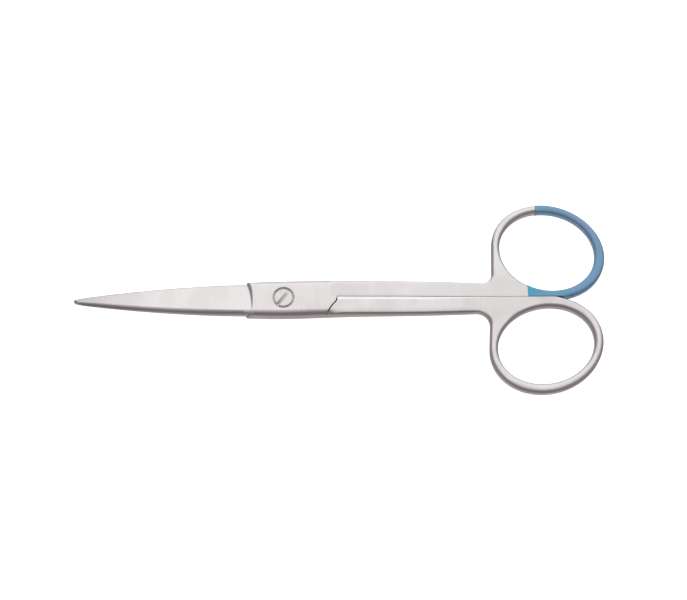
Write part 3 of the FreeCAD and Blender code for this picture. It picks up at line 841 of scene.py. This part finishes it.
def add_world():
    """Soft room: bright behind and straight above, dark in front and less dark at the sides."""
    world = bpy.data.worlds.new("studio")
    world.use_nodes = True
    bpy.context.scene.world = world
    tree = world.node_tree
    tree.nodes.clear()
    direction = add_node(tree, "ShaderNodeTexCoord").outputs["Generated"]
    axes = add_node(tree, "ShaderNodeSeparateXYZ", {0: direction}).outputs
    height = rescale(tree, axes["Z"], -1, 1, 0, 1, "LINEAR")
    aside = rescale(tree, calculate(tree, "ABSOLUTE", axes["X"]), *SIDE_START)
    front = blend_colours(tree, aside, ramp(tree, height, FRONT_LIGHT), SIDE_LIGHT)
    back = ramp(tree, height, BACK_LIGHT)
    sideways = calculate(tree, "ABSOLUTE", calculate(tree, "SUBTRACT", axes["X"], BACK_MIDDLE_X))
    sideways = calculate(tree, "DIVIDE", sideways, calculate(tree, "ADD", axes["Y"], BACK_DEPTH))
    behind = product(tree, rescale(tree, axes["Y"], *BACK_START), rescale(tree, sideways, *BACK_SPREAD))
    light = blend_colours(tree, behind, front, back)
    background = add_node(tree, "ShaderNodeBackground", {"Color": light, "Strength": 1.0})
    output = add_node(tree, "ShaderNodeOutputWorld")
    tree.links.new(background.outputs[0], output.inputs["Surface"])


def add_camera(settings):
    """Camera in front of and above the scissors, rolled slightly."""
    camera = bpy.data.cameras.new("camera")
    camera.sensor_width = SENSOR_WIDTH
    camera.lens = settings.lens
    distance = settings.view_width * settings.lens / camera.sensor_width
    holder = bpy.data.objects.new("camera", camera)
    bpy.context.scene.collection.objects.link(holder)
    back = Vector((0, -math.cos(settings.elevation), math.sin(settings.elevation)))
    holder.location = Vector(settings.target) + back * distance
    aim = (-back).to_track_quat("-Z", "Y").to_matrix()
    holder.rotation_euler = (aim @ Matrix.Rotation(settings.roll, 3, "Z")).to_euler()
    camera.clip_start = distance * CLIP_NEAR
    camera.clip_end = distance * CLIP_FAR
    camera.dof.use_dof = False
    bpy.context.scene.camera = holder


class SCISSORS_OT_stage(bpy.types.Operator):
    """Lay the floor, raise the backdrop, light the room and place the camera"""

    bl_idname = "scissors.stage"
    bl_label = "Stage"

    def execute(self, context):
        settings = context.scene.scissors_stage
        paper = floor_material()
        add_floor(settings.floor_radius, paper)
        add_backdrop(settings.floor_radius, settings.backdrop_height, paper)
        add_world()
        add_camera(settings)
        context.scene.view_settings.view_transform = "Standard"
        return {"FINISHED"}


class SCISSORS_PT_panel(bpy.types.Panel):
    """Sizes, colours and steps of the scissors"""

    bl_idname = "SCISSORS_PT_panel"
    bl_label = "Dissecting scissors"
    bl_space_type = "VIEW_3D"
    bl_region_type = "UI"
    bl_category = "Scissors"

    def draw(self, context):
        for group, operators in PANEL_ROWS:
            settings = getattr(context.scene, group)
            box = self.layout.box()
            for name in settings.bl_rna.properties.keys():
                if name not in ("rna_type", "name"):
                    box.prop(settings, name)
            for operator in operators:
                box.operator(operator.bl_idname)


SETTINGS = (
    ("scissors_steel", SteelSettings),
    ("scissors_screw", ScrewSettings),
    ("scissors_lacquer", LacquerSettings),
    ("scissors_stage", StageSettings),
)
PANEL_ROWS = (
    ("scissors_steel", (SCISSORS_OT_halves,)),
    ("scissors_screw", (SCISSORS_OT_pivot_screw,)),
    ("scissors_lacquer", (SCISSORS_OT_ring_lacquer,)),
    ("scissors_stage", (SCISSORS_OT_stage,)),
)
OPERATORS = tuple(operator for _, operators in PANEL_ROWS for operator in operators)


def register():
    for name, group in SETTINGS:
        bpy.utils.register_class(group)
        setattr(bpy.types.Scene, name, PointerProperty(type=group))
    for operator in OPERATORS:
        bpy.utils.register_class(operator)
    bpy.utils.register_class(SCISSORS_PT_panel)


def unregister():
    bpy.utils.unregister_class(SCISSORS_PT_panel)
    for operator in reversed(OPERATORS):
        bpy.utils.unregister_class(operator)
    for name, group in reversed(SETTINGS):
        delattr(bpy.types.Scene, name)
        bpy.utils.unregister_class(group)


def main():
    register()
    bpy.ops.scissors.halves()
    bpy.ops.scissors.pivot_screw()
    bpy.ops.scissors.ring_lacquer()
    bpy.ops.scissors.stage()


if __name__ == "__main__":
    main()
